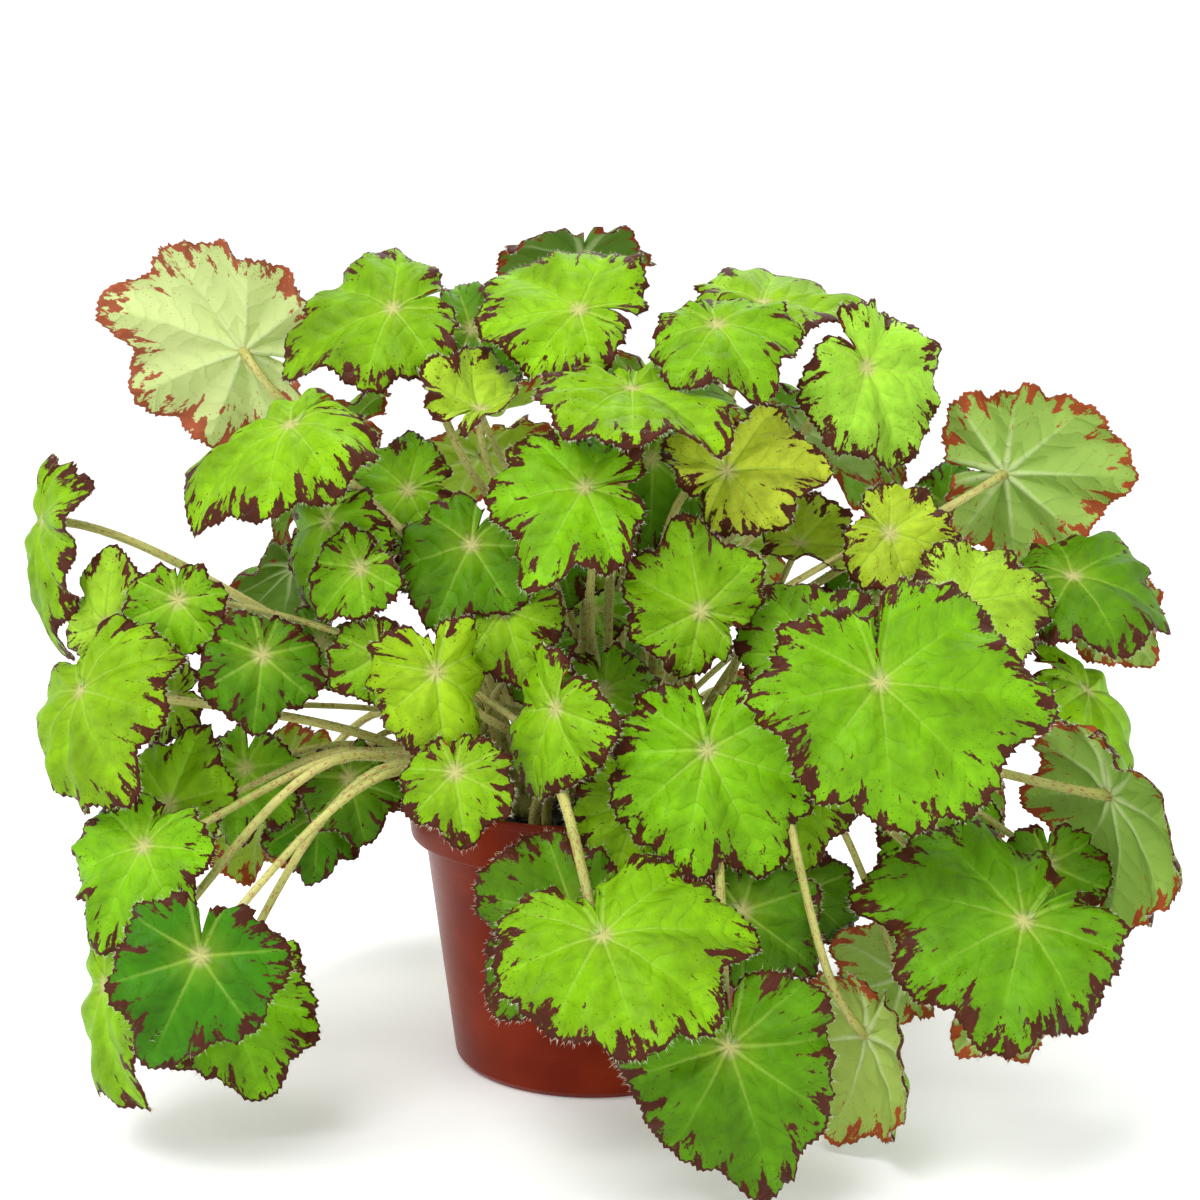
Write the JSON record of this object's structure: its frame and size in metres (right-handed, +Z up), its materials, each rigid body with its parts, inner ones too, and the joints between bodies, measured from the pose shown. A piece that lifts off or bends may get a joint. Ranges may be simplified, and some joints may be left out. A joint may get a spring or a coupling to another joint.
{
  "type": "potted begonia",
  "caption": "Tapered nursery pot of soil with creeping rhizomes and a mound of lobed, toothed leaves on long stalks that arch over the rim.",
  "frame": {"origin": "middle of the pot's base, on the surface it stands on", "axes": "+Z up along the pot's axis, -Y towards the side that the picture shows, +X to its right"},
  "size_m": [0.3876, 0.3389, 0.2853],
  "materials": {
    "leaf_mid": "leaf blade and stalk, bright green, satin, brown margin marks",
    "leaf_deep": "leaf blade and stalk in shade, deep green, satin",
    "leaf_young": "young leaf, yellow green, satin",
    "leaf_pale": "leaf seen from below, pale green, matt",
    "pot_terracotta": "satin moulded plastic, brick red",
    "rhizome_green": "green plant tissue, satin",
    "soil_peat": "moist peat, nearly black, matt"
  },
  "bodies": {
    "root": {"leaf_back_01": "leaf_mid", "leaf_back_02": "leaf_deep", "leaf_back_03": "leaf_mid", "leaf_back_04": "leaf_mid", "leaf_back_05": "leaf_young", "leaf_back_06": "leaf_mid", "leaf_back_07": "leaf_deep", "leaf_back_08": "leaf_mid", "leaf_back_09": "leaf_mid", "leaf_back_10": "leaf_young", "leaf_back_11": "leaf_mid", "leaf_back_12": "leaf_deep", "leaf_back_13": "leaf_mid", "leaf_back_14": "leaf_mid", "leaf_back_15": "leaf_young", "leaf_back_16": "leaf_mid", "leaf_back_17": "leaf_deep", "leaf_crown_01": "leaf_pale", "leaf_crown_02": "leaf_mid", "leaf_crown_03": "leaf_mid", "leaf_crown_05": "leaf_mid", "leaf_crown_07": "leaf_young", "leaf_crown_08": "leaf_mid", "leaf_crown_09": "leaf_mid", "leaf_crown_10": "leaf_mid", "leaf_crown_11": "leaf_mid", "leaf_crown_15": "leaf_pale", "leaf_crown_16": "leaf_young", "leaf_front_01": "leaf_mid", "leaf_front_03": "leaf_mid", "leaf_front_04": "leaf_mid", "leaf_front_05": "leaf_deep", "leaf_front_06": "leaf_mid", "leaf_front_08": "leaf_pale", "leaf_heart_02": "leaf_mid", "leaf_heart_03": "leaf_deep", "leaf_heart_07": "leaf_young", "leaf_heart_10": "leaf_mid", "leaf_left_04": "leaf_mid", "leaf_left_08": "leaf_mid", "leaf_left_09": "leaf_mid", "leaf_left_16": "leaf_mid", "leaf_left_17": "leaf_deep", "leaf_left_18": "leaf_mid", "leaf_left_19": "leaf_mid", "leaf_right_01": "leaf_pale", "leaf_right_03": "leaf_young", "leaf_right_04": "leaf_deep", "leaf_right_06": "leaf_mid", "leaf_right_07": "leaf_mid", "leaf_right_08": "leaf_mid", "leaf_right_11": "leaf_pale", "leaf_right_12": "leaf_mid", "pot": "pot_terracotta", "rhizome_east": "rhizome_green", "rhizome_middle": "rhizome_green", "rhizome_north": "rhizome_green", "rhizome_south": "rhizome_green", "rhizome_west": "rhizome_green", "soil": "soil_peat"}
  },
  "joints": []
}
